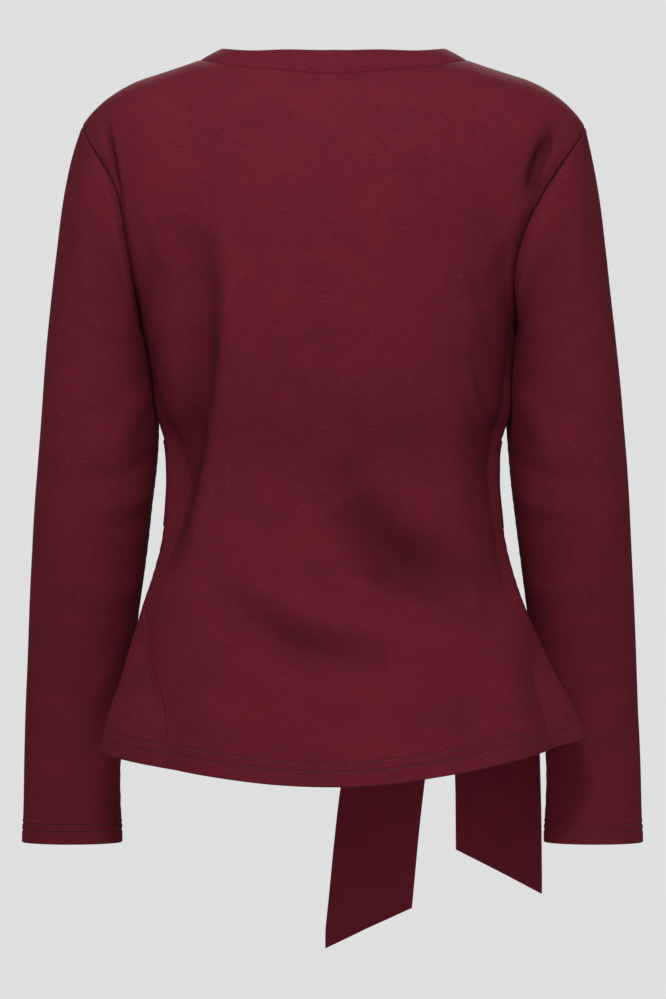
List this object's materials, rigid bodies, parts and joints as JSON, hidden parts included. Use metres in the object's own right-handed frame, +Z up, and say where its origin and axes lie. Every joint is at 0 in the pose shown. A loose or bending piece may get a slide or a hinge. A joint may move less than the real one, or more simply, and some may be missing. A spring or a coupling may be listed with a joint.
{
  "type": "long-sleeved top",
  "caption": "Close-fitting long-sleeved jersey top in its worn, hollow form, with a crew neckband, a flared hem and a waist tie knotted at the front with hanging ends.",
  "frame": {"origin": "midway between the two high points of the shoulders, where the wearer's shoulders carry the top", "axes": "+Z up towards the wearer's head, -Y towards the wearer's front, +X towards the wearer's left"},
  "size_m": [0.5176, 0.2509, 0.7522],
  "materials": {
    "jersey": "matt smooth jersey",
    "jersey_doubled": "matt smooth jersey, doubled"
  },
  "bodies": {
    "root": {"back_panel": "jersey", "front_panel": "jersey", "sleeve_left": "jersey", "sleeve_right": "jersey", "neckband": "jersey_doubled", "tie_band_left": "jersey_doubled", "tie_band_right": "jersey_doubled", "tie_knot": "jersey_doubled", "tie_tail_long": "jersey_doubled", "tie_tail_short": "jersey_doubled"}
  },
  "joints": []
}
